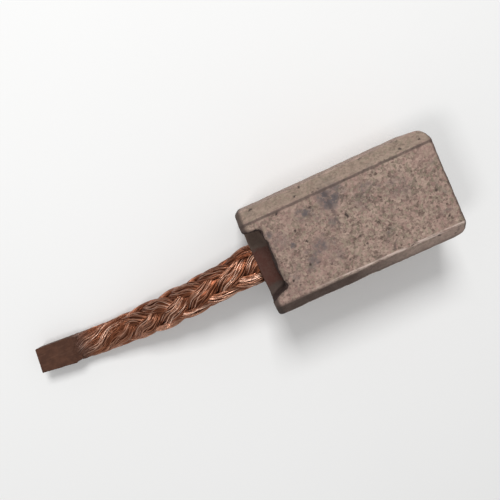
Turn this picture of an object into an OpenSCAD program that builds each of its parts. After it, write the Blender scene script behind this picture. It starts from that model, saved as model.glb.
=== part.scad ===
// Copper-graphite brush for a small DC motor, lying on one broad side.
// The block is pressed in one piece around a short braided copper lead.
// Origin: centre of the broad side that the block lies on. +X points to the
// commutator, -X is where the lead comes out, +Z is up. Millimetres.

/* [Block] */
// Length of the block from the lead end to the contact face
block_length = 18; // [14:0.5:30]
// Width of the block across its broad side
block_width = 10; // [8:0.5:16]
// Thickness of the block
block_thickness = 9; // [8:0.5:14]
// Width and height of the bevel along both long upper edges
long_bevel = 1.15; // [0.4:0.05:1.6]
// Size of the small break on the other pressed edges
edge_break = 0.2; // [0.1:0.05:0.3]
// Radius of the upright corners at the contact end
contact_corner_radius = 0.85; // [0.4:0.05:1.5]
// Radius of the upright corners at the lead end
lead_corner_radius = 0.35; // [0.3:0.05:0.8]

/* [Punch recess] */
// Width of the recess that the upper punch leaves over the lead, at its back
recess_width = 5.6; // [4.8:0.1:6.4]
// Length of the recess, measured in from the lead end
recess_length = 1.65; // [0.8:0.05:3]
// Angle by which each side of the recess opens towards the lead end
recess_flare = 10; // [0:1:15]
// Wall of brush material left between the recess floor and the lead
recess_floor_cover = 0.2; // [0.05:0.01:0.5]
// Draft angle of the recess walls
recess_draft = 3; // [0:0.5:6]

/* [Lead] */
// Length of the braid outside the block, up to the welded end, seen from above
braid_length = 20; // [14:0.5:40]
// Length of braid pressed into the block
embedded_length = 6; // [3:0.5:8]
// Outside diameter of the braid
braid_diameter = 3.4; // [3:0.05:3.8]
// Extra width of the braid where pressing has spread it, at the block
root_spread = 0.6; // [0.2:0.05:0.8]
// Length outside the block over which the braid draws in to its own diameter
root_spread_length = 3.4; // [2:0.1:6]
// Width of one strand across its flat
strand_width = 1.05; // [0.6:0.05:1.1]
// Thickness of one strand
strand_thickness = 0.5; // [0.35:0.01:0.52]
// Share by which a strand widens half way along a float, and narrows where it dives
float_bulge = 0.2; // [0:0.05:0.3]
// How much flatter than the mean helix a float lies, as a share of its slope
float_flatness = 0.4; // [0:0.05:0.5]
// Share of its width that a strand keeps where it enters the welded end
weld_squeeze = 0.7; // [0.6:0.05:0.9]
// Gap kept between strands where they cross
crossing_gap = 0.03; // [0.01:0.01:0.08]
// Length of one full turn of a strand at the block
lay_at_root = 18.4; // [15:0.1:24]
// Growth of that length for each millimetre towards the welded end
lay_growth = 0.05; // [0.02:0.01:0.3]
// Turn of the whole braid for each millimetre of its length, in degrees
braid_twist = -2.7; // [-6:0.1:6]

/* [Welded end] */
// Length of the bar that the wires are welded into
weld_length = 4.35; // [3:0.05:8]
// Width of the bar where the braid runs into it
weld_width = 2.85; // [2.6:0.05:3.4]
// Width of the bar at its cut end
weld_end_width = 2.55; // [2:0.05:3.4]
// Thickness of the bar
weld_thickness = 1.9; // [1.8:0.05:2.4]
// Angle of the end cut away from square
weld_cut_angle = 3; // [0:1:15]

/* [Lie of the lead] */
// Sideways place of the lead where it leaves the block
root_offset = -0.15; // [-0.5:0.05:0.5]
// Angle at which the lead leaves the block, seen from above
root_yaw = 5; // [-15:1:15]
// Sideways place of the welded end, where the braid runs into it
weld_offset = -0.9; // [-3:0.05:3]
// Angle of the welded end to the block's centre line, seen from above
weld_yaw = 6; // [-15:1:15]

/* [Hidden] */
$fn = 48;
STRANDS = 12;
EACH_WAY = STRANDS / 2; // strands that turn the same way
RINGS = 56;
SIDES = 8;
EPS = 0.01;
OVERRUN = 1; // how far a cutting solid runs past the face it opens
SHOULDER = 0.06; // how soft the shoulders of a strand's over-and-under wave are
START_ANGLE = 29; // turn of the whole braid where it leaves the block
socket_clearance = 0.05;

lead_height = block_thickness / 2;
weld_height = weld_thickness / 2;
socket_radius = braid_diameter / 2 + socket_clearance;
recess_floor = lead_height + socket_radius + recess_floor_cover;
lead_end_x = -block_length / 2;
contact_x = block_length / 2;

// ---- block ----

// Plan of the block: a rectangle whose four upright corners are rounded
module block_plan() {
    half = block_width / 2;
    re = lead_corner_radius;
    rc = contact_corner_radius;
    translate([lead_end_x + re, -half]) square([block_length - re - rc, block_width]);
    translate([lead_end_x, -half + re]) square([re + EPS, block_width - 2 * re]);
    translate([contact_x - rc - EPS, -half + rc]) square([rc + EPS, block_width - 2 * rc]);
    for (side = [-1, 1]) {
        translate([lead_end_x + re, side * (half - re)]) circle(re);
        translate([contact_x - rc, side * (half - rc)]) circle(rc);
    }
}

// Section across the block: bevelled long edges above, small breaks below
module block_section() {
    half = block_width / 2;
    top = block_thickness;
    polygon([
        [-half + edge_break, 0], [half - edge_break, 0], [half, edge_break],
        [half, top - long_bevel], [half - long_bevel, top],
        [-half + long_bevel, top], [-half, top - long_bevel], [-half, edge_break]
    ]);
}

// Section along the block: small breaks at both ends
module block_side() {
    top = block_thickness;
    polygon([
        [lead_end_x + edge_break, 0], [contact_x - edge_break, 0], [contact_x, edge_break],
        [contact_x, top - edge_break], [contact_x - edge_break, top],
        [lead_end_x + edge_break, top], [lead_end_x, top - edge_break], [lead_end_x, edge_break]
    ]);
}

// The space the punch leaves: drafted on its sides and its back, and flared
// towards the lead end
module punch_recess() {
    rise = block_thickness + EPS - recess_floor;
    inset = rise * tan(recess_draft);
    front = lead_end_x - OVERRUN;
    back = lead_end_x + recess_length;
    run = recess_length + 2 * OVERRUN;
    intersection() {
        translate([0, recess_width, recess_floor]) rotate([90, 0, 0])
            linear_extrude(2 * recess_width)
                polygon([[front, 0], [back - inset, 0], [back, rise], [front, rise]]);
        intersection_for(side = [0, 1]) mirror([0, side, 0])
            translate([back, recess_width / 2, recess_floor]) rotate(-recess_flare)
                translate([-run, 0, 0]) rotate([90, 0, 90])
                    linear_extrude(run + OVERRUN) polygon([
                        [-2 * recess_width, 0], [-inset, 0], [0, rise], [-2 * recess_width, rise]
                    ]);
    }
}

// The hole that the pressed braid fills: as high as the braid, and wider by
// as much as pressing has spread it
module lead_socket() {
    deep = embedded_length + EPS;
    translate([lead_end_x - EPS, root_offset, lead_height]) {
        for (side = [-1, 1]) translate([0, side * root_spread / 2, 0]) rotate([0, 90, 0])
            cylinder(r = socket_radius, h = deep);
        translate([0, -root_spread / 2, -socket_radius]) cube([deep, root_spread, 2 * socket_radius]);
    }
}

module carbon_block() {
    half = block_width / 2;
    color([0.55, 0.46, 0.42]) difference() {
        intersection() {
            linear_extrude(block_thickness) block_plan();
            translate([lead_end_x, 0, 0]) rotate([90, 0, 90])
                linear_extrude(block_length) block_section();
            translate([0, half, 0]) rotate([90, 0, 0])
                linear_extrude(block_width) block_side();
        }
        punch_recess();
        lead_socket();
    }
}

// ---- lead ----

function unit(v) = v / norm(v);
function ease(q) = q * q * (3 - 2 * q);
function mix(a, b, q) = a + (b - a) * q;
function clamp01(q) = min(1, max(0, q));

// Place of the braid's centre line at a distance s along X from the lead end.
// Sideways it is a Hermite curve from the socket to the welded bar, with its
// own direction at each end; in height it eases from the socket down to the
// bar. Inside the block (s below 0) it runs straight along the socket.
function centre_line(s) =
    let (q = clamp01(s / braid_length))
    let (root = mix(root_offset, 0, ease(q)) - braid_length * tan(root_yaw) * q * (1 - q) * (1 - q))
    let (weld = mix(0, weld_offset, ease(q)) - braid_length * tan(weld_yaw) * q * q * (1 - q))
    [lead_end_x - s, root + weld, mix(lead_height, weld_height, ease(q))];

// How far the braid has tightened towards the welded end, 0 to 1
function tighten(s) = ease(clamp01((s / braid_length - 0.45) / 0.55));
// Half of the extra width that is left at s
function spread(s) = root_spread / 2 * (1 - ease(clamp01(s / root_spread_length)));

function half_width(s) = mix(braid_diameter / 2 + spread(s), weld_width / 2 - EPS, tighten(s));
function half_height(s) = mix(braid_diameter / 2, weld_thickness / 2 - EPS, tighten(s));
function thickness_at(s) = mix(strand_thickness, weld_thickness / 4 - 2 * crossing_gap, tighten(s));

// Strands are numbered round the braid. Even ones turn one way, odd ones the
// other, and STRANDS / 2 of each share the round evenly.
function hand(k) = k % 2 == 0 ? 1 : -1;

// Turn of a strand about the centre line, in degrees, with the lay growing
function lay_angle(s) =
    360 / lay_growth * ln(1 + lay_growth * (s + embedded_length) / lay_at_root);
function mean_angle(k, s) = hand(k) * lay_angle(s) + floor(k / 2) * 360 / EACH_WAY;

// Real angle: at each crossing the braid sways to one side and back, which
// lays the floats flatter than the mean helix
function strand_angle(k, s) =
    let (sway = float_flatness / EACH_WAY * 180 / PI * cos(EACH_WAY * lay_angle(s)))
    mean_angle(k, s) + sway + START_ANGLE + braid_twist * s;

// 1 half way along a float, -1 half way along a dive: two crossings each
function lift(k, s) = hand(k) * sin(EACH_WAY / 2 * mean_angle(k, s) + 45);
// The same with square shoulders, so that a strand stays up over its float
function shuttle(w) = w * sqrt((1 + SHOULDER) / (w * w + SHOULDER));

// Section of a strand, cut square to the braid: a flattened round that hugs
// the braid's own surface at the depth where the wave holds it
function strand_ring(k, s) =
    let (t = thickness_at(s))
    let (swing = t / 2 + crossing_gap)
    let (depth = t / 2 + swing * (1 - shuttle(lift(k, s))))
    let (wide = half_width(s) - depth)
    let (high = half_height(s) - depth)
    let (radius = (wide + high) / 2)
    let (slant = atan(radius * (strand_angle(k, s + 0.05) - strand_angle(k, s - 0.05)) / 0.1 * PI / 180))
    let (w = strand_width * (1 + float_bulge * lift(k, s)) * mix(1, weld_squeeze, tighten(s)))
    let (reach = w / 2 / cos(slant) / radius * 180 / PI)
    let (along = unit(centre_line(s + 0.1) - centre_line(s - 0.1)))
    let (side = unit(cross([0, 0, 1], along)))
    let (above = cross(along, side))
    [for (i = [0:SIDES - 1])
        let (a = 360 * (i + 0.5) / SIDES)
        let (out = t / 2 * sin(a))
        let (angle = strand_angle(k, s) + reach * cos(a))
        centre_line(s) + side * (wide + out) * cos(angle) + above * (high + out) * sin(angle)];

module braid_strand(k) {
    s0 = -embedded_length + EPS;
    s1 = braid_length - EPS;
    points = [for (r = [0:RINGS]) each strand_ring(k, mix(s0, s1, r / RINGS))];
    walls = [for (r = [0:RINGS - 1], i = [0:SIDES - 1])
        let (a = r * SIDES + i, b = r * SIDES + (i + 1) % SIDES)
        each [[a, b, b + SIDES], [a, b + SIDES, a + SIDES]]];
    last = RINGS * SIDES;
    caps = [[for (i = [SIDES - 1:-1:0]) i], [for (i = [0:SIDES - 1]) last + i]];
    color(hand(k) > 0 ? [0.75, 0.46, 0.33] : [0.66, 0.38, 0.27])
        polyhedron(points, concat(walls, caps));
}

module welded_end() {
    skew = weld_end_width * tan(weld_cut_angle);
    start = centre_line(braid_length);
    color([0.36, 0.24, 0.19]) translate([start[0], start[1], 0]) rotate(-weld_yaw)
        linear_extrude(weld_thickness)
            polygon([
                [0, -weld_width / 2], [-weld_length - skew / 2, -weld_end_width / 2],
                [-weld_length + skew / 2, weld_end_width / 2], [0, weld_width / 2]
            ]);
}

carbon_block();
for (k = [1:STRANDS])
    braid_strand(k - 1);
welded_end();
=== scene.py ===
"""Dresses the copper-graphite motor brush: pressed block, plaited copper lead and its welded end.

Shapes are worked out in millimetres and put into meshes in metres. The block and the welded bar are the
zero surface of a distance that is written as a formula. Every wire of the lead is a round tube on its
strand's path.
"""

import math

import bpy
import numpy as np
from mathutils import Matrix, Vector


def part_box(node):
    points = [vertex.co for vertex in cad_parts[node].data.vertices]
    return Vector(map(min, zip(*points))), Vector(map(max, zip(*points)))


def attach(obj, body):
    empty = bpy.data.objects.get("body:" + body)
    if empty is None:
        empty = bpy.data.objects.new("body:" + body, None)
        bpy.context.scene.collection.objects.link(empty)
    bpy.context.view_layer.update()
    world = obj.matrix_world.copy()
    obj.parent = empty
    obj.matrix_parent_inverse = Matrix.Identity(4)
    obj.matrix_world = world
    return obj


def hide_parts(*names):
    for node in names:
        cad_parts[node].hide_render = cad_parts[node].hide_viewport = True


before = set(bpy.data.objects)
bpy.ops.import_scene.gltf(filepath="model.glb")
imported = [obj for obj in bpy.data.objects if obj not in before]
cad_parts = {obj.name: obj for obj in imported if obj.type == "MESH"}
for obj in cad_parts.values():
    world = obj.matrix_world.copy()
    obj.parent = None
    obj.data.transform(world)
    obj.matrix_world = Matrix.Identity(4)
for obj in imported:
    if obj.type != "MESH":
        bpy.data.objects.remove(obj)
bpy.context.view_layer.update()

MM = 0.001  # metres in a millimetre


def box_mm(node):
    """A node's lowest and highest corners in millimetres."""
    low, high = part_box(node)
    return np.array(low) / MM, np.array(high) / MM


# ---- sizes in millimetres ----

# Boxes of the solids, from the frame
BLOCK_LOW, BLOCK_HIGH = box_mm("carbon_block")
BAR_LOW, BAR_HIGH = box_mm("welded_end")
HALF_ACROSS = BLOCK_HIGH[1]
BLOCK_TOP = BLOCK_HIGH[2]
LEAD_END = BLOCK_LOW[0]
CONTACT_END = BLOCK_HIGH[0]

# Block and recess, as in the solid
LONG_BEVEL = 1.15
CONTACT_CORNER = 0.85
LEAD_CORNER = 0.35
RECESS_HALF = 2.8
RECESS_LENGTH = 1.65
RECESS_FLARE = math.radians(10)
RECESS_FLOOR = 6.45
RECESS_DRAFT = math.tan(math.radians(3))

# Course of the braid, as in the solids
STRANDS = 12
BRAID_LENGTH = 20.0
EMBEDDED = 6.0
BRAID_RADIUS = 1.7
ROOT_SPREAD = 0.3
ROOT_SPREAD_LENGTH = 3.4
TIGHT_FROM = 0.45  # part of its length from which the braid tightens into the bar
LAY_AT_ROOT = 18.4
LAY_GROWTH = 0.05
BRAID_TWIST = math.radians(-2.7)  # for each millimetre
START_ANGLE = math.radians(29)
STRAND_THICKNESS = 0.5
CROSSING_GAP = 0.03
ROOT_OFFSET = -0.15
ROOT_YAW = math.radians(5)
BAR_OFFSET = -0.9
BAR_YAW = math.radians(6)

# Welded bar, as in the solid
BAR_LENGTH = 4.35
BAR_WIDTH = 2.85
BAR_CUT_WIDTH = 2.55
BAR_THICKNESS = BAR_HIGH[2] - BAR_LOW[2]
BAR_CUT_SLANT = math.tan(math.radians(3))

# Strands as loose wires fill them, softer and broader than the solids
STRAND_WIDTH = 1.36
NARROWER_AT_BAR = 0.25
LOBE = 0.24  # how much a strand widens in the middle of a float and narrows where it dives
SHOULDER = 1.5  # how soft the shoulders of the over-and-under wave are
FLOAT_FLATNESS = 0.7
FUSED = 0.5  # how far the two layers close up at the bar
LOOSE_FROM, LOOSE_OVER = 0.58, 0.26  # where the plait comes apart, as parts of the braid's length
LOOSE_LAYER = 0.5  # how far apart the two hands lie there, against 1 in the plait

# Wires
WIRES = 32  # over the outer side of each strand
WIRE_FROM, WIRE_SPREAD = -0.18, 1.36  # where round the strand they begin, and their reach, in half turns
WIRE_DRIFT = 0.1  # how far a wire wanders round its strand, in radians
WIRE_WANDER = 0.016  # and out of it
WIRE_RADIUS = 0.05
WIRE_SIDES = 5
WIRE_RINGS = 150
WIRE_START = -0.9  # inside the block
WELD_IN = 0.9  # length over which the wires sink into the welded bar
WIRE_END = BRAID_LENGTH + WELD_IN
WIRE_SINK = 0.16
PROUD = 0.03  # how far the outermost wires stand out of the strand's own thickness
MIDDLE_THICKNESS = 0.8  # of the tube inside a strand, against the wires' own layer
TUBE_END = 0.05  # share of its size that a tube's last ring keeps


# ---- camera, lamps and floor ----

# The brush lies with its contact end up to the right, turned by this much in the picture
PICTURE_TURN = math.radians(24.7)
CAMERA_PLACE = np.array([-6.46, 6.47, 59.0])
CAMERA_AIM = np.array([-9.165, 1.151, 4.0])
LENS = 42.0


def place_camera():
    """A near camera, almost overhead.

    Picture up is +Y turned by PICTURE_TURN, made square to the line of sight.
    """
    data = bpy.data.cameras.new("camera")
    data.lens = LENS
    data.clip_start, data.clip_end = 0.001, 10
    camera = bpy.data.objects.new("camera", data)
    bpy.context.scene.collection.objects.link(camera)
    sight = Vector(CAMERA_AIM - CAMERA_PLACE).normalized()
    up = Vector((math.sin(PICTURE_TURN), math.cos(PICTURE_TURN), 0))
    up = (up - sight * up.dot(sight)).normalized()
    right = sight.cross(up)
    turn = Matrix((right, up, -sight)).transposed().to_4x4()
    camera.matrix_world = Matrix.Translation(Vector(CAMERA_PLACE) * MM) @ turn
    bpy.context.scene.camera = camera


def area_lamp(name, place, aim, size, watts):
    """A square soft lamp at a place in millimetres, turned towards aim."""
    data = bpy.data.lights.new(name, "AREA")
    data.size = size * MM
    data.energy = watts
    lamp = bpy.data.objects.new(name, data)
    bpy.context.scene.collection.objects.link(lamp)
    lamp.location = Vector(place) * MM
    lamp.rotation_euler = (Vector(aim) - Vector(place)).to_track_quat("-Z", "Y").to_euler()


place_camera()
bpy.context.scene.view_settings.view_transform = "Standard"


# ---- shader maths ----


class Value:
    """Wraps a shader socket, or a plain number, so that maths on it adds the nodes."""

    def __init__(self, sheet, socket):
        self.sheet, self.socket = sheet, socket

    def _math(self, operation, *others):
        node = self.sheet.node("ShaderNodeMath", {"operation": operation}, (self, *others))
        return Value(self.sheet, node.outputs[0])

    def __add__(self, other):
        return self._math("ADD", other)

    __radd__ = __add__

    def __neg__(self):
        return 0 - self

    def __sub__(self, other):
        return self._math("SUBTRACT", other)

    def __rsub__(self, other):
        return Value(self.sheet, other)._math("SUBTRACT", self)

    def __mul__(self, other):
        return self._math("MULTIPLY", other)

    __rmul__ = __mul__

    def __abs__(self):
        return self._math("ABSOLUTE")

    def above(self, low, high):
        """0 below low, 1 above high and smooth between."""
        node = self.sheet.node(
            "ShaderNodeMapRange", {"interpolation_type": "SMOOTHSTEP"}, (self, low, high, 0.0, 1.0)
        )
        return Value(self.sheet, node.outputs[0])

    def clamp(self):
        """The value held between 0 and 1."""
        node = self.sheet.node("ShaderNodeClamp", {}, (self, 0.0, 1.0))
        return Value(self.sheet, node.outputs[0])


class Sheet:
    """One material's node tree, with short ways to add nodes to it."""

    def __init__(self, name, metallic=0.0, specular=0.5):
        self.material = bpy.data.materials.new(name)
        self.material.use_nodes = True
        self.tree = self.material.node_tree
        self.shader = self.tree.nodes["Principled BSDF"]
        self.shader.inputs["Metallic"].default_value = metallic
        self.shader.inputs["Specular IOR Level"].default_value = specular

    def node(self, kind, settings, values=()):
        """Adds a node: its settings first, then a number or a link for each input, by order or by name."""
        made = self.tree.nodes.new(kind)
        for key, setting in settings.items():
            setattr(made, key, setting)
        pairs = values.items() if isinstance(values, dict) else enumerate(values)
        for key, value in pairs:
            if value is not None:
                self.join(value, made.inputs[key])
        return made

    def join(self, value, socket):
        """Links a value to a socket, or sets the socket where the value is plain."""
        value = value.socket if isinstance(value, Value) else value
        if isinstance(value, bpy.types.NodeSocket):
            self.tree.links.new(value, socket)
        else:
            socket.default_value = value

    def place(self, scale=(1, 1, 1)):
        """Object coordinates in millimetres, stretched by scale."""
        where = self.node("ShaderNodeTexCoord", {}).outputs["Object"]
        settings = {"Vector": where, "Scale": tuple(s / MM for s in scale)}
        return self.node("ShaderNodeMapping", {}, settings).outputs[0]

    def parts(self, where):
        """The x, y and z of a place."""
        return [Value(self, part) for part in self.node("ShaderNodeSeparateXYZ", {}, (where,)).outputs]

    def band(self, value, middle, half, soft):
        """1 where value lies within half of middle, easing to 0 over soft."""
        return 1 - abs(value - middle).above(half, half + soft)

    def spot(self, where, middle, size, soft):
        """1 within size of a point, easing to 0 over soft."""
        node = self.node("ShaderNodeVectorMath", {"operation": "DISTANCE"}, (where, middle))
        return 1 - Value(self, node.outputs["Value"]).above(size, size + soft)

    def noise(self, where, scale, detail=2.0, rough=0.5):
        """Cloudy noise about 0.5, with features about 1 / scale across."""
        values = {"Vector": where, "Scale": scale, "Detail": detail, "Roughness": rough}
        return Value(self, self.node("ShaderNodeTexNoise", {}, values).outputs[0])

    def cells(self, where, scale):
        """Distance to the nearest of points scattered at random, about 1 / scale apart."""
        values = {"Vector": where, "Scale": scale}
        return Value(self, self.node("ShaderNodeTexVoronoi", {}, values).outputs["Distance"])

    def grains(self, where, scale):
        """Two random numbers for each of the irregular cells that fill space, each about 1 / scale across."""
        node = self.node("ShaderNodeTexVoronoi", {}, {"Vector": where, "Scale": scale})
        parts = self.node("ShaderNodeSeparateColor", {}, (node.outputs["Color"],))
        return [Value(self, part) for part in parts.outputs[:2]]

    def painted(self, name):
        """The three channels of a painted attribute."""
        colour = self.node("ShaderNodeAttribute", {"attribute_name": name}).outputs["Color"]
        parts = self.node("ShaderNodeSeparateColor", {}, (colour,))
        return [Value(self, part) for part in parts.outputs[:3]]

    def blend(self, amount, first, second):
        """A colour that goes from first to second as amount goes from 0 to 1."""
        made = self.node("ShaderNodeMix", {"data_type": "RGBA"})
        self.join(amount, made.inputs["Factor"])
        for value, socket in ((first, made.inputs[6]), (second, made.inputs[7])):
            self.join((*value, 1.0) if isinstance(value, tuple) else value, socket)
        return made.outputs[2]

    def layers(self, colour, *pairs):
        """Lays tones over a colour one after another, each by its own amount."""
        for amount, tone in pairs:
            colour = self.blend(amount, colour, tone)
        return colour

    def bump(self, height, distance, strength):
        """A normal tilted by a height, where 1 stands for a distance in millimetres."""
        values = {"Strength": strength, "Distance": distance * MM, "Height": height}
        return self.node("ShaderNodeBump", {}, values).outputs[0]

    def finish(self, **inputs):
        """Joins the shader's inputs and gives the material."""
        names = {"colour": "Base Color", "roughness": "Roughness", "metallic": "Metallic", "normal": "Normal"}
        for key, value in inputs.items():
            self.join(value, self.shader.inputs[names[key]])
        return self.material


# ---- meshes from arrays ----


def smooth_noise(shape, reach, seed):
    """Random field over a grid whose features are about `reach` cells wide, scaled to mean 0 and spread 1.

    White noise is multiplied, in frequency, by exp(-(reach f pi)^2), which is a blur by a bell curve.
    """
    rng = np.random.default_rng(seed)
    spectrum = np.fft.rfftn(rng.standard_normal(shape))
    squares = [np.fft.fftfreq(n) ** 2 for n in shape[:-1]] + [np.fft.rfftfreq(shape[-1]) ** 2]
    total = squares[0][:, None, None] + squares[1][None, :, None] + squares[2][None, None, :]
    field = np.fft.irfftn(spectrum * np.exp(-total * (math.pi * reach) ** 2), s=shape, axes=(0, 1, 2))
    return ((field - field.mean()) / field.std()).astype(np.float32)


def along_axis(axis):
    """Slices that pick the near and the far end of every grid edge that runs along an axis."""
    near = [slice(None)] * 3
    far = [slice(None)] * 3
    near[axis], far[axis] = slice(None, -1), slice(1, None)
    return tuple(near), tuple(far)


def zero_surface(distance, low, pitch):
    """Points and quads of the surface where a sampled distance is zero, and each point's grid cell.

    A cell that the surface passes through holds one point: the mean of where the surface cuts the cell's
    twelve edges. Each grid edge that is cut joins the points of the four cells around it into a quad that
    faces outwards.
    """
    inside = distance < 0
    count = np.zeros([n - 1 for n in distance.shape], np.float32)
    total = np.zeros([*count.shape, 3], np.float32)
    for axis in range(3):
        near, far = along_axis(axis)
        cut = inside[near] != inside[far]
        part = np.where(cut, distance[near] / np.where(cut, distance[near] - distance[far], 1), 0)
        others = [d for d in range(3) if d != axis]
        for u in (0, 1):
            for v in (0, 1):
                pick = [slice(None)] * 3
                for d, side in zip(others, (u, v)):
                    pick[d] = slice(side, side + count.shape[d])
                here, shift = cut[tuple(pick)], part[tuple(pick)]
                count += here
                total[..., axis] += shift
                total[..., others[0]] += here * u
                total[..., others[1]] += here * v
    active = count > 0
    number = np.full(active.shape, -1, np.int64)
    number[active] = np.arange(active.sum())
    cells = np.argwhere(active)
    points = np.asarray(low) + pitch * (cells + total[active] / count[active][:, None])
    quads = []
    for axis in range(3):
        near, far = along_axis(axis)
        place = np.argwhere(inside[near] != inside[far])
        outward = inside[near][tuple(place.T)]
        u, v = (axis + 1) % 3, (axis + 2) % 3
        ring = []
        for du, dv in ((-1, -1), (0, -1), (0, 0), (-1, 0)):
            cell = place.copy()
            cell[:, u] += du
            cell[:, v] += dv
            ring.append(number[tuple(cell.T)])
        ring = np.stack(ring, 1)
        quads.append(np.where(outward[:, None], ring, ring[:, ::-1]))
    return points, np.concatenate(quads), cells


def make_piece(name, points, quads, material, paint=None, replaces=()):
    """A smooth mesh object from points in millimetres, with an optional painted attribute for each point."""
    mesh = bpy.data.meshes.new(name)
    mesh.vertices.add(len(points))
    mesh.vertices.foreach_set("co", np.ascontiguousarray(points * MM, np.float32).ravel())
    mesh.loops.add(quads.size)
    mesh.loops.foreach_set("vertex_index", quads.astype(np.int32).ravel())
    mesh.polygons.add(len(quads))
    mesh.polygons.foreach_set("loop_start", np.arange(0, quads.size, 4, dtype=np.int32))
    mesh.update(calc_edges=True)
    mesh.validate()
    mesh.polygons.foreach_set("use_smooth", np.ones(len(quads), bool))
    if paint is not None:
        layer = mesh.color_attributes.new("paint", "FLOAT_COLOR", "POINT")
        rgba = np.ones((len(points), 4), np.float32)
        rgba[:, : paint.shape[1]] = paint
        layer.data.foreach_set("color", rgba.ravel())
    mesh.materials.append(material)
    piece = bpy.data.objects.new(name, mesh)
    bpy.context.scene.collection.objects.link(piece)
    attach(piece, "root")
    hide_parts(*replaces)
    return piece


def soft_max(a, b, radius):
    """The larger of two distances, with the edge where they meet rounded off over about `radius`."""
    near = np.maximum(radius - np.abs(a - b), 0)
    return np.maximum(a, b) + near * near / (4 * radius)


def ease(q):
    """Smooth step: 3 q^2 - 2 q^3, with q held between 0 and 1."""
    q = np.clip(q, 0, 1)
    return q * q * (3 - 2 * q)


# ---- block ----

BLOCK_PITCH = 0.1  # spacing of the grid that the block's distance is sampled on
MARGIN = 3  # empty cells left round a shape
EDGE_ROUND = 0.16
RECESS_BACK_ROUND = 0.3
RECESS_FLOOR_ROUND = 0.2
RECESS_RIM = 0.1  # the recess's painted shade sets in over this depth
RIDGE_HEIGHT = 0.05
RIDGE_WIDTH = 0.1
WORN_CORNER = 0.25
WORN_REACH = 0.7
CRUMBLE = 0.06

# How far noise pulls the surface in
WAVES = 0.012
GRAIN = 0.006
PITS = 0.05
EDGE_WAVES = 0.03
EDGE_GRAIN = 0.02

# Tones of pressed copper and graphite
GRAIN_DARK = (0.115, 0.077, 0.06)
GRAIN_LIGHT = (0.43, 0.312, 0.253)
PINK_GRAIN = (0.36, 0.22, 0.19)
OLIVE_GRAIN = (0.24, 0.21, 0.145)
PINK_PATCH = (0.35, 0.22, 0.19)
LEAD_HALF = (0.2, 0.12, 0.1)
PEPPER = (0.07, 0.052, 0.046)
SMUDGE = (0.115, 0.095, 0.095)
SCRATCH = (0.08, 0.06, 0.058)
PIT = (0.05, 0.035, 0.03)
# Edges lighter by wear and by a painted highlight
WORN_AND_SHEEN_EDGE = (0.42, 0.32, 0.27)
# Painted shade on the lead and the contact end faces
LEAD_FACE_SHADE = (0.05, 0.034, 0.028)
CONTACT_FACE_SHADE = (0.06, 0.04, 0.035)

# Painted light: both bevels' tones are set for how the lamps light them, and the lower one is paler against
# its shade
UPPER_BEVEL_PAINTED_LIGHT = (0.23, 0.18, 0.134)
LOWER_BEVEL_PAINTED_LIGHT = (0.42, 0.315, 0.265)
# Painted shade down the lower bevel towards the lead end, and along its bottom edge
LOWER_BEVEL_SHADE = (0.05, 0.029, 0.022)
LOWER_EDGE_SHADE = (0.06, 0.04, 0.032)
# Lighter line on the upper bevel by the ridge: wear and a painted highlight
RUBBED_AND_SHEEN_LINE = (0.36, 0.27, 0.22)
RIDGE_SHADE = (0.09, 0.064, 0.054)
RIDGE_SHINE = (0.6, 0.48, 0.42)

# Painted shade in the recess: dark on the -Y side, painted paler to +Y against the lamps' shadow there, near
# black walls
RECESS_SHADE_DARK = (0.06, 0.042, 0.034)
RECESS_SHADE_PALE = (0.125, 0.085, 0.065)
RECESS_OVER_LEAD = (0.072, 0.024, 0.016)
RECESS_WALL_SHADE = (0.022, 0.012, 0.01)
RECESS_GRAIN = (0.1, 0.06, 0.048)

# Dark smudges on the top: x, y, size, softness and strength
SMUDGES = [
    (-3.6, 2.6, 0.3, 0.6, 0.7),
    (-3.0, 2.5, 0.2, 0.5, 0.6),
    (-3.3, -0.6, 0.35, 0.7, 0.8),
    (-4.3, -1.5, 0.25, 0.6, 0.6),
    (-5.4, 0.4, 0.15, 0.25, 1.0),
    (-6.9, 2.1, 0.15, 0.35, 0.8),
    (-1.1, 2.6, 0.4, 0.9, 0.8),
    (-0.6, 3.3, 0.5, 1.2, 0.7),
    (-1.5, 0.9, 0.2, 0.6, 0.6),
    (-6.2, 1.2, 0.3, 0.9, 0.4),
    (-2.3, -2.0, 0.3, 0.8, 0.35),
    (1.6, 1.6, 0.3, 1.1, 0.35),
    (-4.8, -2.2, 0.2, 0.4, 0.4),
    (5.0, 1.2, 0.5, 1.2, 0.3),
]


def grid(low, high, pitch):
    """Coordinates of a grid that holds a box with a margin, and its lowest corner."""
    start = np.asarray(low) - MARGIN * pitch
    steps = np.ceil((np.asarray(high) - start) / pitch).astype(int) + MARGIN + 1
    axes = [(start[d] + pitch * np.arange(steps[d])).astype(np.float32) for d in range(3)]
    return start, np.meshgrid(*axes, indexing="ij", sparse=True)


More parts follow.
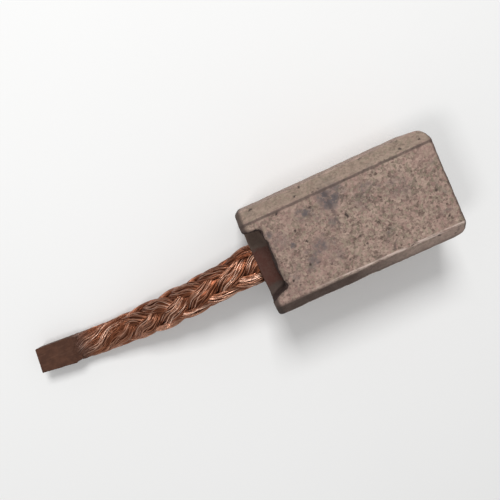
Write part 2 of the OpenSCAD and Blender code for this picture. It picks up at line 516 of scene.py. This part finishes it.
def block_piece(material):
    """The pressed block as the zero surface of a distance.

    Outside distance = rounded largest of: the plan's rounded rectangle, the top, the underside and the two
    45 degree bevels. The recess is taken away as the rounded largest of that and minus the recess's own
    distance. Its back edge has crumbled a little, and the -Y side is worn away at the mouth. A thin ridge
    stands where bevel and top meet. Blurred noise pulls the surface in by a few hundredths, more along the
    edges, where the pressed powder crumbles.
    """
    start, (x, y, z) = grid(BLOCK_LOW, BLOCK_HIGH, BLOCK_PITCH)
    across = np.abs(y)
    corner = np.where(x > 0, CONTACT_CORNER, LEAD_CORNER)
    dx = np.maximum(x - CONTACT_END, LEAD_END - x) + corner
    dy = across - HALF_ACROSS + corner
    plan = np.hypot(np.maximum(dx, 0), np.maximum(dy, 0)) + np.minimum(np.maximum(dx, dy), 0) - corner
    ridge_at = (across - (HALF_ACROSS - LONG_BEVEL)) / RIDGE_WIDTH
    top = z - BLOCK_TOP - RIDGE_HEIGHT * (np.exp(-ridge_at * ridge_at) - 1)
    bevel = (across + z - (HALF_ACROSS + BLOCK_TOP - LONG_BEVEL)) / math.sqrt(2)
    solid = soft_max(top, bevel, EDGE_ROUND / 2)
    solid = soft_max(solid, plan, EDGE_ROUND)
    solid = soft_max(solid, -z, EDGE_ROUND)

    draft = (BLOCK_TOP - z) * RECESS_DRAFT
    back = x - (LEAD_END + RECESS_LENGTH)
    worn = np.where(y < 0, WORN_CORNER, 0) * np.exp(-(((x - LEAD_END) / WORN_REACH) ** 2))
    side = (across - RECESS_HALF) * math.cos(RECESS_FLARE) + back * math.sin(RECESS_FLARE) + draft - worn
    back = back + draft + CRUMBLE * smooth_noise((1, y.size, z.size), reach=3, seed=4)
    recess = soft_max(side, back, RECESS_BACK_ROUND)
    recess = soft_max(recess, RECESS_FLOOR - z, RECESS_FLOOR_ROUND)
    whole = soft_max(solid, -recess, EDGE_ROUND)

    sharp = np.maximum.reduce(np.broadcast_arrays(top, bevel, plan, -z, -recess))
    edge = np.clip((whole - sharp) / (EDGE_ROUND / 4), 0, 1)
    coarse = smooth_noise(whole.shape, reach=7, seed=1)
    fine = smooth_noise(whole.shape, reach=1.6, seed=2)
    pits = np.maximum(smooth_noise(whole.shape, reach=1.9, seed=3) - 2.1, 0)
    pull = WAVES * np.maximum(coarse + 1, 0) + GRAIN * fine + PITS * pits
    pull = pull + edge * (EDGE_WAVES * np.maximum(coarse + 0.4, 0) + EDGE_GRAIN * np.maximum(fine, 0))
    whole = whole + np.maximum(pull, 0).astype(np.float32)

    points, quads, cells = zero_surface(whole, start, BLOCK_PITCH)
    at = tuple(cells.T)
    in_recess = np.clip((2.5 * RECESS_RIM - recess) / RECESS_RIM, 0, 1)
    in_recess = in_recess * np.clip((BLOCK_TOP - z - RIDGE_HEIGHT) / RECESS_RIM, 0, 1)
    in_recess = np.broadcast_to(in_recess, whole.shape)[at]
    paint = np.stack([edge[at], in_recess, np.clip(pits[at] * 2, 0, 1)], 1)
    return make_piece("brush_block", points, quads, material, paint, ["carbon_block"])


def graphite_material():
    """Pressed copper and graphite powder.

    Fine dark, tan and pink grains, a slightly redder lead half, dark smudges and hairline marks, painted
    light on both bevels, a painted shade line beside the upper ridge and a painted highlight on the lower,
    painted shade towards the lead end of the lower bevel and along its bottom edge, worn edges lightened
    partly as a painted highlight, and painted shade on the two ends and in the recess. The painted channels
    are worn edges, the recess and pits.
    """
    sheet = Sheet("copper_graphite", specular=0.3)
    where = sheet.place()
    x, y, z = sheet.parts(where)
    wear_and_sheen, recess, pits = sheet.painted("paint")
    drift = sheet.noise(where, 0.5) - 0.5
    flutter = sheet.noise(where, 1.8, 3.0, 0.6) - 0.5
    cloud = sheet.noise(where, 1.3, 3.0, 0.65)
    dash = sheet.noise(sheet.place((0.45, 3, 3)), 1.6)

    # Grain
    tone, hue = sheet.grains(where, 4.6)
    fine, _ = sheet.grains(where, 8.5)
    grain = tone * 0.4 + fine * 0.25 + cloud * 0.75 - 0.2
    lead_half = 1 - (x + flutter * 1.6).above(-1.4, -0.7)
    pepper = 1 - sheet.cells(where, 3.6).above(0.08, 0.26)
    pepper = pepper * sheet.noise(where, 0.9).above(0.4, 0.62)
    colour = sheet.layers(
        sheet.blend(grain.above(0.12, 0.88), GRAIN_DARK, GRAIN_LIGHT),
        (hue.above(0.6, 0.9) * 0.4, PINK_GRAIN),
        ((1 - hue.above(0.1, 0.35)) * 0.4, OLIVE_GRAIN),
        (sheet.noise(where, 0.45).above(0.5, 0.66) * 0.3, PINK_PATCH),
        (lead_half * 0.12, LEAD_HALF),
        (pepper * 0.6, PEPPER),
    )

    # Smudges and hairline marks on the top
    marks = sheet.noise(where, 0.7, 3.0, 0.6).above(0.55, 0.74) * 0.6
    for mark_x, mark_y, size, soft, strength in SMUDGES:
        marks = marks + sheet.spot(where, (mark_x, mark_y, BLOCK_TOP), size, soft) * strength
    marks = marks * (flutter + 0.5).above(0.3, 0.62) * (0.6 + tone * 0.6)
    seam = sheet.band(x + flutter * 1.1, -1.05, 0.05, 0.16)
    seam = seam * sheet.spot(where, (-1.05, 2.0, BLOCK_TOP), 1.6, 1.0)
    nick = sheet.band(x - y * 0.9 + flutter * 0.6, 5.5, 0.04, 0.12)
    nick = nick * sheet.spot(where, (2.65, -3.15, BLOCK_TOP), 0.4, 0.25)
    colour = sheet.layers(colour, (marks.clamp(), SMUDGE), ((seam + nick).clamp() * 0.5, SCRATCH))

    # Bevels and ridges, with painted light and shade: up and low are distances past the +Y and the -Y ridge
    up = y - (HALF_ACROSS - LONG_BEVEL)
    low = -y - (HALF_ACROSS - LONG_BEVEL)
    high = z.above(BLOCK_TOP - LONG_BEVEL - 0.1, BLOCK_TOP - LONG_BEVEL + 0.1)
    crest = z.above(BLOCK_TOP - 0.35, BLOCK_TOP - 0.2)
    bevel_low = low.above(0.08, 0.3) * high
    # painted shade on the lower bevel, deepening towards the lead end
    bevel_shade = (1 - (x + drift * 5).above(-2.5, 6.5)) * bevel_low
    # a light line by the upper ridge, partly wear and partly painted highlight
    rubbed_and_sheen = sheet.band(up, 0.24, 0.05, 0.08) * high * dash.above(0.35, 0.6)
    shade = sheet.band(up + flutter * 0.12, -0.12, 0.06, 0.12) * crest
    shine = dash.above(0.3, 0.62) * (x + drift * 4).above(-7.0, -1.0)
    colour = sheet.layers(
        colour,
        # painted light on the upper and the lower bevel
        (up.above(0.0, 0.1) * high * 0.5, UPPER_BEVEL_PAINTED_LIGHT),
        (bevel_low * 0.5, LOWER_BEVEL_PAINTED_LIGHT),
        # painted shade on the lower bevel and darker still along its bottom edge
        (bevel_shade * (0.7 + cloud * 0.35), LOWER_BEVEL_SHADE),
        (bevel_low * low.above(0.7, 1.15) * 0.6, LOWER_EDGE_SHADE),
        (rubbed_and_sheen * 0.25, RUBBED_AND_SHEEN_LINE),
        (shade * (0.45 + dash * 0.6), RIDGE_SHADE),
        (sheet.band(low, 0.0, 0.07, 0.1) * crest * shine, RIDGE_SHINE),
    )

    # Worn edges, partly a painted highlight; painted shade on the two ends; pits; and the recess's painted
    # shade
    # painted shade on the lead and the contact end faces
    lead_face_shade = 1 - (x - LEAD_END + flutter * 0.3).above(0.32, 0.7)
    contact_face_shade = (x - CONTACT_END + flutter * 0.25).above(-0.3, -0.1)
    # The recess's painted shade, with a dark red band over the lead
    inside = sheet.layers(
        sheet.blend(y.above(0.3, 2.2), RECESS_SHADE_DARK, RECESS_SHADE_PALE),
        (sheet.band(y + flutter * 0.8, -0.6, 1.5, 0.5), RECESS_OVER_LEAD),
        (z.above(RECESS_FLOOR + 0.1, RECESS_FLOOR + 0.5), RECESS_WALL_SHADE),
        (grain.above(0.35, 0.65) * 0.3, RECESS_GRAIN),
    )
    colour = sheet.layers(
        colour,
        # edges lightened by wear and a painted highlight
        (wear_and_sheen * 0.2, WORN_AND_SHEEN_EDGE),
        (lead_face_shade * 0.9, LEAD_FACE_SHADE),
        (contact_face_shade * 0.7, CONTACT_FACE_SHADE),
        (pits, PIT),
        (recess, inside),
    )
    height = sheet.noise(where, 6.0, 3.0, 0.6) + sheet.noise(where, 2.0) * 0.8 - pepper * 0.8 - seam - nick
    return sheet.finish(
        colour=colour,
        roughness=0.66 + grain * 0.2 - wear_and_sheen * 0.1,
        normal=sheet.bump(height, 0.03, 0.7),
    )


# ---- lead ----


def centre_line(s):
    """Centre of the braid at distances s along X from the block.

    Sideways a Hermite curve from the socket to the bar, with the bar's own direction at its end; in height
    a smooth step from the socket down to the bar.
    """
    q = np.clip(s / BRAID_LENGTH, 0, 1)
    start = ROOT_OFFSET * (1 - ease(q)) - BRAID_LENGTH * math.tan(ROOT_YAW) * q * (1 - q) ** 2
    end = BAR_OFFSET * ease(q) - BRAID_LENGTH * math.tan(BAR_YAW) * q * q * (1 - q)
    beyond = np.maximum(s - BRAID_LENGTH, 0) * math.tan(BAR_YAW)
    height = BLOCK_TOP / 2 + (BAR_THICKNESS / 2 - BLOCK_TOP / 2) * ease(q)
    return np.stack([LEAD_END - s, start + end + beyond, height], -1)


def unit(v):
    return v / np.linalg.norm(v, axis=-1, keepdims=True)


def braid_axes(s):
    """The braid's own directions at s: along, sideways and above."""
    along = unit(centre_line(s + 0.1) - centre_line(s - 0.1))
    side = unit(np.cross([0.0, 0.0, 1.0], along))
    return along, side, np.cross(along, side)


def tighten(s):
    """0 on the loose braid, rising to 1 where the wires enter the welded bar."""
    return ease((s / BRAID_LENGTH - TIGHT_FROM) / (1 - TIGHT_FROM))


def half_sizes(s):
    """Half of the braid's width and height: round, widened at the block, and flattened into the bar."""
    tight = tighten(s)
    wide = BRAID_RADIUS + ROOT_SPREAD * (1 - ease(s / ROOT_SPREAD_LENGTH))
    wide = wide + (BAR_WIDTH / 2 - wide) * tight
    high = BRAID_RADIUS + (BAR_THICKNESS / 2 - BRAID_RADIUS) * tight
    return wide, high


def strand_thickness(s):
    return STRAND_THICKNESS + (BAR_THICKNESS / 4 - 2 * CROSSING_GAP - STRAND_THICKNESS) * tighten(s)


def strand_course(k, s):
    """Angle round the braid, sine of the over-and-under wave, the wave itself and the slant of strand k at s.

    The angle turns by 2 pi / growth x ln(1 + growth s / lay), one way for even strands and the other way
    for odd ones. The wave is a sine of the strand's angle, three times as fast and with softened shoulders,
    so a strand goes over two and under two. The angle also sways by the cosine of the crossings, which lays
    each float flatter than the mean helix. Towards the bar the plait comes apart: the waves fade, and the
    odd strands lie over the even.
    """
    hand = 1 if k % 2 == 0 else -1
    each = STRANDS // 2
    turn = 2 * math.pi / LAY_GROWTH * np.log(1 + LAY_GROWTH * (s + EMBEDDED) / LAY_AT_ROOT)
    nominal = hand * turn + (k // 2) * 2 * math.pi / each
    sway = FLOAT_FLATNESS / each * np.cos(each * turn)
    angle = nominal + sway + START_ANGLE + BRAID_TWIST * s
    sine = hand * np.sin(each / 2 * nominal + math.pi / 4)
    wave = sine * np.sqrt((1 + SHOULDER) / (sine * sine + SHOULDER))
    loose = ease((s / BRAID_LENGTH - LOOSE_FROM) / LOOSE_OVER)
    sine = sine * (1 - loose)
    wave = wave * (1 - loose) - hand * LOOSE_LAYER * loose
    slant = np.arctan((BRAID_RADIUS - STRAND_THICKNESS / 2) * np.gradient(angle, s))
    return angle, sine, wave, slant


def on_strand(k, s, across, outward):
    """Places in the strand: `across` its flat, along the braid's round, and `outward` from its middle.

    The wave carries the middle of the strand between two layers. Across is divided by the slant's cosine,
    because the section is cut square to the braid and not to the strand.
    """
    angle, _, wave, slant = strand_course(k, s)
    wide, high = half_sizes(s)
    thick = strand_thickness(s)
    swing = (thick / 2 + CROSSING_GAP) * (1 - FUSED * tighten(s))
    depth = thick / 2 + swing * (1 - wave) + WIRE_SINK * ease((s - BRAID_LENGTH) / WELD_IN)
    theta = angle + across / (np.cos(slant) * ((wide + high) / 2 - depth))
    _, side, above = braid_axes(s)
    out = (wide - depth + outward) * np.cos(theta)
    up = (high - depth + outward) * np.sin(theta)
    return centre_line(s) + side * out[..., None] + above * up[..., None]


def slow_waves(rng, count, s, periods):
    """One smooth random curve along s for each of `count` wires: a sum of sines, with a spread of about 1."""
    total = np.zeros((count, len(s)))
    for period in periods:
        phase = rng.uniform(0, 2 * math.pi, (count, 1))
        stretch = rng.uniform(0.7, 1.3, (count, 1))
        total += np.sin(2 * math.pi * s[None, :] * stretch / period + phase)
    return total / math.sqrt(len(periods) / 2)


def narrowing(rings, last):
    """A tube's size at each ring: 1, but `last` at the first and the last ring."""
    size = np.ones(rings)
    size[[0, -1]] = last
    return size


def tubes(centres, radius, sides):
    """Round tubes along many paths at once: centres is paths x rings x 3.

    Each ring is a circle square to its path. The first and last rings narrow to a pinhole.
    """
    paths, rings = centres.shape[:2]
    along = unit(np.gradient(centres, axis=1))
    guide = unit(np.cross(along, [0.3, 0.2, 1.0]))
    other = np.cross(along, guide)
    angle = 2 * math.pi * np.arange(sides) / sides
    radius = np.broadcast_to(radius, (paths, rings)) * narrowing(rings, TUBE_END)
    circle = guide[:, :, None] * np.cos(angle)[:, None] + other[:, :, None] * np.sin(angle)[:, None]
    points = centres[:, :, None] + circle * radius[:, :, None, None]
    return points, tube_quads(paths, rings, sides)


def tube_quads(paths, rings, sides):
    """Quads between neighbouring rings, facing outwards where the rings run clockwise along the path."""
    first = (np.arange(paths)[:, None, None] * rings + np.arange(rings - 1)[None, :, None]) * sides
    i = np.arange(sides)[None, None, :]
    j = (i + 1) % sides
    return np.stack([first + i, first + j, first + j + sides, first + i + sides], -1).reshape(-1, 4)


def strand_piece(k, material):
    """One bunch of fine wires over a tube that fills the strand's middle.

    In the strand's section a wire lies at (a cos t, b sin t), an ellipse, where t runs over the outer side
    and drifts slowly with the wire's own wander. The strand is widest half way along a float and narrows
    where it dives. The paint is each wire's own tint; how far it stands out, which carries painted shade
    down between the strands and a painted highlight along the +Y edge of each lobe; and its place from the
    -Y to the +Y flank.
    """
    rng = np.random.default_rng(100 + k)
    s = np.linspace(WIRE_START, WIRE_END, WIRE_RINGS)
    _, sine, wave, _ = strand_course(k, s)
    a = STRAND_WIDTH / 2 * (1 + LOBE * sine) * (1 - NARROWER_AT_BAR * tighten(s)) - WIRE_RADIUS
    b = strand_thickness(s) / 2 - WIRE_RADIUS + PROUD
    t = (np.arange(WIRES) + rng.uniform(0.2, 0.8, WIRES))[:, None] / WIRES
    t = math.pi * (WIRE_SPREAD * t + WIRE_FROM) + WIRE_DRIFT * slow_waves(rng, WIRES, s, (9, 4.1, 2.3))
    outward = b * np.sin(t) + WIRE_WANDER * slow_waves(rng, WIRES, s, (5, 2.2))
    centres = on_strand(k, s, a * np.cos(t), outward)
    radius = WIRE_RADIUS * rng.uniform(0.85, 1.1, (WIRES, 1))
    points, quads = tubes(centres, radius, WIRE_SIDES)

    sides = 12
    ring = 2 * math.pi * np.arange(sides)[:, None] / sides  # anticlockwise, so its faces point inwards
    shrink = narrowing(WIRE_RINGS, TUBE_END)
    middle = on_strand(k, s, a * shrink * np.cos(ring), MIDDLE_THICKNESS * b * shrink * np.sin(ring))
    middle = middle.transpose(1, 0, 2)

    tint = np.broadcast_to(rng.uniform(0, 1, (WIRES, 1, 1)), points.shape[:3])
    # How far a wire stands out: painted shade down between the strands, and a painted highlight on each
    # lobe's +Y edge
    height = np.clip(0.3 + 0.7 * outward / (b + 0.02), 0, 1) * np.clip(0.65 + 0.4 * wave, 0, 1)
    height = np.clip(height * (0.95 + 0.35 * np.cos(t)), 0, 1)
    flank = 0.5 + 0.5 * (points[..., 1] - centre_line(s)[None, :, None, 1]) / BRAID_RADIUS
    paint = np.stack([tint, np.broadcast_to(height[..., None], tint.shape), flank], -1)
    middle_paint = np.empty((WIRE_RINGS, sides, 3))
    middle_paint[..., 0] = tint[0, 0, 0]
    # the middle tube painted darker, as shade in the crevices
    middle_paint[..., 1] = 0.45 * height.mean(0)[:, None]
    middle_paint[..., 2] = 0.5
    return make_piece(
        f"strand_wires_{k + 1}",
        np.concatenate([middle.reshape(-1, 3), points.reshape(-1, 3)]),
        np.concatenate([tube_quads(1, WIRE_RINGS, sides), quads + WIRE_RINGS * sides]),
        material,
        np.concatenate([middle_paint.reshape(-1, 3), paint.reshape(-1, 3)]),
        [f"braid_strand_{k + 1}"],
    )


def inside_piece(material):
    """A tube just under the lower layer of strands: a floor for the crevices, of copper in painted shade."""
    sides, rings = 48, 90
    s = np.linspace(WIRE_START, WIRE_END, rings)
    ring = 2 * math.pi * np.arange(sides)[:, None] / sides
    wide, high = half_sizes(s)
    sink = 1.5 * strand_thickness(s)
    shrink = narrowing(rings, 0.02)
    _, side, above = braid_axes(s)
    out = ((wide - sink) * shrink * np.cos(ring))[..., None]
    up = ((high - sink) * shrink * np.sin(ring))[..., None]
    points = (centre_line(s) + side * out + above * up).transpose(1, 0, 2).reshape(-1, 3)
    # painted shade: the crevices' floor is painted dark
    paint = np.tile([0.0, 0.2, 0.5], (len(points), 1))
    return make_piece("braid_inside", points, tube_quads(1, rings, sides), material, paint)


# Copper tones, with painted shade in the crevices and along the +Y flank, and painted highlights where wires
# stand out
COPPER_CREVICE_SHADE = (0.065, 0.019, 0.009)
COPPER_MIDDLE = (0.4, 0.148, 0.074)
COPPER_PROUD_HIGHLIGHT = (0.68, 0.36, 0.24)
# Bright single wires: their own tint, and a painted glint where they stand out
COPPER_BRIGHT_AND_GLINT = (0.9, 0.6, 0.46)
COPPER_DULL = (0.14, 0.042, 0.019)
COPPER_TARNISHED = (0.2, 0.066, 0.03)
# Painted shade along the braid's +Y flank
COPPER_FLANK_SHADE = (0.17, 0.053, 0.025)
COPPER_BROWNED = (0.085, 0.036, 0.022)


def copper_material():
    """Bare copper wire, lightly oxidised.

    Painted highlight in pink where it stands out, painted shade in red-brown and dark down between the
    strands and along the +Y flank, bright and dull single wires with a painted glint on the bright ones,
    and browned by heat towards the welded end.
    """
    sheet = Sheet("braid_copper", specular=0.5)
    where = sheet.place()
    x = sheet.parts(where)[0]
    tint, height, flank = sheet.painted("paint")
    tarnish = sheet.noise(where, 0.9, 3.0, 0.6)
    browned = (tarnish * 1.8 - (x - LEAD_END)).above(18.8, 20.9)
    colour = sheet.layers(
        # painted shade down in the crevices
        sheet.blend(height.above(0.1, 0.6), COPPER_CREVICE_SHADE, COPPER_MIDDLE),
        # painted highlight where the wire stands out
        (height.above(0.55, 1.0), COPPER_PROUD_HIGHLIGHT),
        # bright wires by their own tint, with a painted glint where they stand out
        (tint.above(0.5, 0.95) * height.above(0.3, 0.8) * 0.9, COPPER_BRIGHT_AND_GLINT),
        ((1 - tint.above(0.08, 0.4)) * 0.6, COPPER_DULL),
        (tarnish.above(0.42, 0.66) * 0.45, COPPER_TARNISHED),
        # painted shade along the +Y flank of the braid
        (flank.above(0.6, 0.95) * 0.6, COPPER_FLANK_SHADE),
        (browned * 0.9, COPPER_BROWNED),
    )
    return sheet.finish(colour=colour, roughness=0.24 + tarnish * 0.2, metallic=0.9 - browned * 0.6)


# ---- welded end ----

BAR_PITCH = 0.045
BAR_ROUND = 0.07
BAR_LEAN = math.tan(math.radians(4))
BAR_CUT_ROUND = 0.04
BAR_START_ROUND = 0.06
BAR_SLIM = 0.2  # how much thinner the bar is on each side where the wires run in
GROOVE_DEPTH = 0.05
GROOVE_PITCH = (0.26, 0.3)  # across the bar and up it
GROOVE_WANDER = 0.06
BAR_PLAIN_CUT = 0.12  # no grooves this close to the cut
BAR_GRAIN = 0.006

OXIDE_DARK = (0.066, 0.028, 0.017)
OXIDE_LIGHT = (0.098, 0.043, 0.026)
OXIDE_STREAK = (0.15, 0.075, 0.05)
GROOVE_SHADE = (0.03, 0.012, 0.008)


def bar_piece(material):
    """The welded bar as the zero surface of a distance.

    In the bar's own axes, u runs from the braid to the cut end, v across it and w up from its middle. The
    sides taper along u and lean in by BAR_LEAN towards the underside, and the cut is slanted. Wires that
    were pressed together leave shallow grooves along u that fade towards the cut end. Where the wires run
    in, the bar starts slimmer and lies under them.
    """
    start, (x, y, z) = grid(BAR_LOW, BAR_HIGH, BAR_PITCH)
    root = centre_line(np.array([BRAID_LENGTH]))[0]
    u = -(x - root[0]) * math.cos(BAR_YAW) + (y - root[1]) * math.sin(BAR_YAW)
    v = (x - root[0]) * math.sin(BAR_YAW) + (y - root[1]) * math.cos(BAR_YAW)
    w = z - BAR_THICKNESS / 2
    part = np.clip(u / BAR_LENGTH, 0, 1)
    half = BAR_WIDTH / 2 + (BAR_CUT_WIDTH - BAR_WIDTH) / 2 * part - BAR_LEAN * (BAR_THICKNESS - z)
    cut = u - BAR_LENGTH + v * BAR_CUT_SLANT
    slim = BAR_SLIM * (1 - ease(u / WELD_IN))
    shape = soft_max(np.abs(v) - half + slim, np.abs(w) - BAR_THICKNESS / 2 + slim, BAR_ROUND)
    shape = soft_max(shape, cut, BAR_CUT_ROUND)
    shape = soft_max(shape, -u, BAR_START_ROUND)
    wander = GROOVE_WANDER * smooth_noise(shape.shape, reach=14, seed=12)
    across, upward = (
        np.abs(np.sin((place + wander) * 2 * math.pi / pitch)) for place, pitch in zip((v, w), GROOVE_PITCH)
    )
    grooves = across * upward
    fade = 1 - 0.75 * ease(part * 1.3)
    shape = shape + GROOVE_DEPTH * fade * (1 - grooves) * (np.abs(cut) > BAR_PLAIN_CUT)
    shape = shape + BAR_GRAIN * np.abs(smooth_noise(shape.shape, reach=3, seed=11))
    points, quads, cells = zero_surface(shape.astype(np.float32), start, BAR_PITCH)
    at = tuple(cells.T)
    paint = np.stack([np.broadcast_to(part, shape.shape)[at], grooves[at]], 1)
    return make_piece("weld_bar", points, quads, material, paint, ["welded_end"])


def weld_material():
    """Wires fused under heat: dull dark brown oxide with a few paler streaks, darker in the grooves."""
    sheet = Sheet("welded_copper", specular=0.15)
    where = sheet.place()
    part, ridge, _ = sheet.painted("paint")
    stain = sheet.noise(where, 1.1, 3.0, 0.6)
    streaks = sheet.noise(sheet.place((0.4, 3, 3)), 2.2)
    colour = sheet.layers(
        sheet.blend(stain.above(0.35, 0.7), OXIDE_DARK, OXIDE_LIGHT),
        (streaks.above(0.5, 0.75) * 0.3, OXIDE_STREAK),
        ((1 - part.above(0.0, 0.3)) * (1 - ridge) * 0.4, GROOVE_SHADE),
    )
    return sheet.finish(
        colour=colour,
        roughness=0.52 + stain * 0.2,
        metallic=0.1,
        normal=sheet.bump(sheet.noise(where, 7.0, 3.0), 0.02, 0.5),
    )


# ---- stage ----


FLOOR_REACH = 1.5  # metres
FLOOR_DROP = 0.02  # millimetres, so that the floor never shares a face with the brush


def make_stage():
    """A pale floor just under the brush, two soft lamps and a pale world."""
    mesh = bpy.data.meshes.new("floor")
    corners = [(-1, -1), (1, -1), (1, 1), (-1, 1)]
    mesh.from_pydata([(x * FLOOR_REACH, y * FLOOR_REACH, 0) for x, y in corners], [], [(0, 1, 2, 3)])
    floor = bpy.data.objects.new("floor", mesh)
    bpy.context.scene.collection.objects.link(floor)
    floor.location.z = -FLOOR_DROP * MM
    sheet = Sheet("floor", specular=0.2)
    colour = sheet.blend(sheet.noise(sheet.place(), 0.02), (0.85, 0.85, 0.845), (0.88, 0.88, 0.875))
    mesh.materials.append(sheet.finish(colour=colour, roughness=0.9))

    world = bpy.data.worlds.new("studio")
    bpy.context.scene.world = world
    world.use_nodes = True
    background = world.node_tree.nodes["Background"]
    background.inputs["Color"].default_value = (1, 1, 1, 1)
    background.inputs["Strength"].default_value = 0.38
    area_lamp("key", place=(20, 130, 180), aim=(-8, 0, 4), size=70, watts=0.3)
    area_lamp("fill", place=(-95, -15, 190), aim=(-18, 0, 3), size=44, watts=0.085)


make_stage()
block_piece(graphite_material())
copper = copper_material()
for strand in range(STRANDS):
    strand_piece(strand, copper)
inside_piece(copper)
bar_piece(weld_material())
